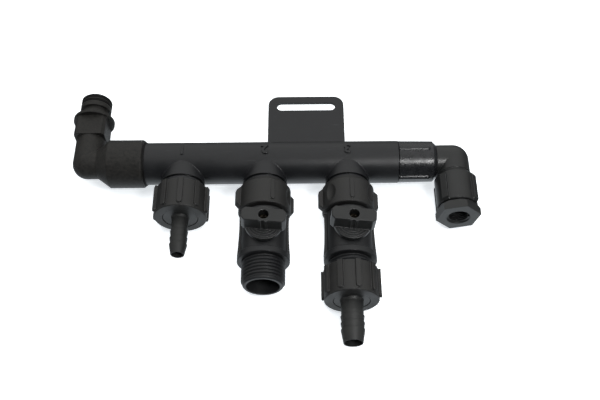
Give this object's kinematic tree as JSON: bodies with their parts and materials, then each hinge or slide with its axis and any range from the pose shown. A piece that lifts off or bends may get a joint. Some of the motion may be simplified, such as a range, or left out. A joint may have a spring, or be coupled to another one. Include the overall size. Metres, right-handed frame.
{
  "type": "fluid distribution manifold",
  "caption": "Black moulded header tube with slotted bracket, plug-in inlet elbow, threaded outlets with swivel nuts, barbed hose tails, quarter-turn ball valves and a gauge elbow.",
  "frame": {"origin": "centre of the bracket slot, on the plate's back face (the face away from the knobs)", "axes": "+X along the header from the inlet elbow to the gauge elbow, -Y the way the outlets point, +Z the way the valve knobs stand"},
  "size_m": [0.2645, 0.1794, 0.0469],
  "materials": {
    "header_pp": "satin moulded",
    "elbow_nylon": "fine spark-grained",
    "bushing_nylon": "smooth, half gloss",
    "gauge_pp": "matt moulded",
    "nut_pp": "matt moulded",
    "tail_pp": "matt moulded",
    "valve_pp": "matt moulded",
    "knob_pp": "matt moulded",
    "ball_pp": "polished",
    "seat_ptfe": "waxy white",
    "seal_rubber": "matt",
    "screw_steel": "plain zinc"
  },
  "bodies": {
    "manifold": {"manifold_body": "header_pp", "inlet_elbow": "elbow_nylon", "inlet_ring_1": "seal_rubber", "inlet_ring_2": "seal_rubber", "end_bushing": "bushing_nylon", "gauge_elbow": "gauge_pp"},
    "outlet_1_tail": {"outlet_1_tail": "tail_pp", "outlet_1_washer": "seal_rubber"},
    "outlet_1_nut": {"outlet_1_nut": "nut_pp"},
    "valve_2": {"valve_2_body": "valve_pp", "valve_2_inlet_tail": "tail_pp", "valve_2_washer": "seal_rubber", "valve_2_seat_inlet": "seat_ptfe", "valve_2_seat_outlet": "seat_ptfe"},
    "valve_2_nut": {"valve_2_nut": "nut_pp"},
    "valve_2_knob": {"valve_2_knob": "knob_pp", "valve_2_knob_screw": "screw_steel", "valve_2_stem": "knob_pp", "valve_2_stem_ring": "seal_rubber", "valve_2_ball": "ball_pp"},
    "valve_3": {"valve_3_body": "valve_pp", "valve_3_inlet_tail": "tail_pp", "valve_3_washer": "seal_rubber", "valve_3_seat_inlet": "seat_ptfe", "valve_3_seat_outlet": "seat_ptfe"},
    "valve_3_nut": {"valve_3_nut": "nut_pp"},
    "valve_3_knob": {"valve_3_knob": "knob_pp", "valve_3_knob_screw": "screw_steel", "valve_3_stem": "knob_pp", "valve_3_stem_ring": "seal_rubber", "valve_3_ball": "ball_pp"},
    "outlet_3_tail": {"outlet_3_tail": "tail_pp", "outlet_3_washer": "seal_rubber"},
    "outlet_3_nut": {"outlet_3_nut": "nut_pp"},
    "gauge_adapter": {"gauge_adapter": "gauge_pp", "gauge_washer": "seal_rubber"},
    "gauge_nut": {"gauge_nut": "gauge_pp"}
  },
  "joints": [
    {"name": "outlet_1_tail_draw", "type": "slide", "parent": "manifold", "child": "outlet_1_tail", "axis": [0, -1, 0], "range_m": [0, 0.00883]},
    {"name": "outlet_1_nut_turn", "type": "hinge", "parent": "outlet_1_tail", "child": "outlet_1_nut", "pos_m": [-0.0795, -0.0768, 0.001], "axis": [0, -1, 0], "range_deg": [0, 1440]},
    {"name": "valve_2_draw", "type": "slide", "parent": "manifold", "child": "valve_2", "axis": [0, -1, 0], "range_m": [0, 0.00883]},
    {"name": "valve_2_nut_turn", "type": "hinge", "parent": "valve_2", "child": "valve_2_nut", "pos_m": [-0.0267, -0.0768, 0.001], "axis": [0, -1, 0], "range_deg": [0, 1440]},
    {"name": "valve_2_knob_turn", "type": "hinge", "parent": "valve_2", "child": "valve_2_knob", "pos_m": [-0.0267, -0.1006, 0.001], "axis": [0.0349, 0, 0.9994], "range_deg": [0, 90]},
    {"name": "valve_3_draw", "type": "slide", "parent": "manifold", "child": "valve_3", "axis": [0, -1, 0], "range_m": [0, 0.00883]},
    {"name": "valve_3_nut_turn", "type": "hinge", "parent": "valve_3", "child": "valve_3_nut", "pos_m": [0.0261, -0.0768, 0.001], "axis": [0, -1, 0], "range_deg": [0, 1440]},
    {"name": "valve_3_knob_turn", "type": "hinge", "parent": "valve_3", "child": "valve_3_knob", "pos_m": [0.0261, -0.1006, 0.001], "axis": [0.0698, 0, 0.9976], "range_deg": [0, 90]},
    {"name": "outlet_3_tail_draw", "type": "slide", "parent": "valve_3", "child": "outlet_3_tail", "axis": [0, -1, 0], "range_m": [0, 0.00883]},
    {"name": "outlet_3_nut_turn", "type": "hinge", "parent": "outlet_3_tail", "child": "outlet_3_nut", "pos_m": [0.0261, -0.1345, 0.001], "axis": [0, -1, 0], "range_deg": [0, 1440]},
    {"name": "gauge_adapter_draw", "type": "slide", "parent": "manifold", "child": "gauge_adapter", "axis": [0, -1, 0], "range_m": [0, 0.00599]},
    {"name": "gauge_nut_turn", "type": "hinge", "parent": "gauge_adapter", "child": "gauge_nut", "pos_m": [0.0947, -0.0713, 0.001], "axis": [0, -1, 0], "range_deg": [0, 1440]}
  ],
  "couplings": [
    {"joint": "outlet_1_nut_turn", "follows": "outlet_1_tail_draw", "rad_per_m": 2844.4},
    {"joint": "valve_2_nut_turn", "follows": "valve_2_draw", "rad_per_m": 2844.4},
    {"joint": "valve_3_nut_turn", "follows": "valve_3_draw", "rad_per_m": 2844.4},
    {"joint": "outlet_3_nut_turn", "follows": "outlet_3_tail_draw", "rad_per_m": 2844.4},
    {"joint": "gauge_nut_turn", "follows": "gauge_adapter_draw", "rad_per_m": 4188.8}
  ]
}
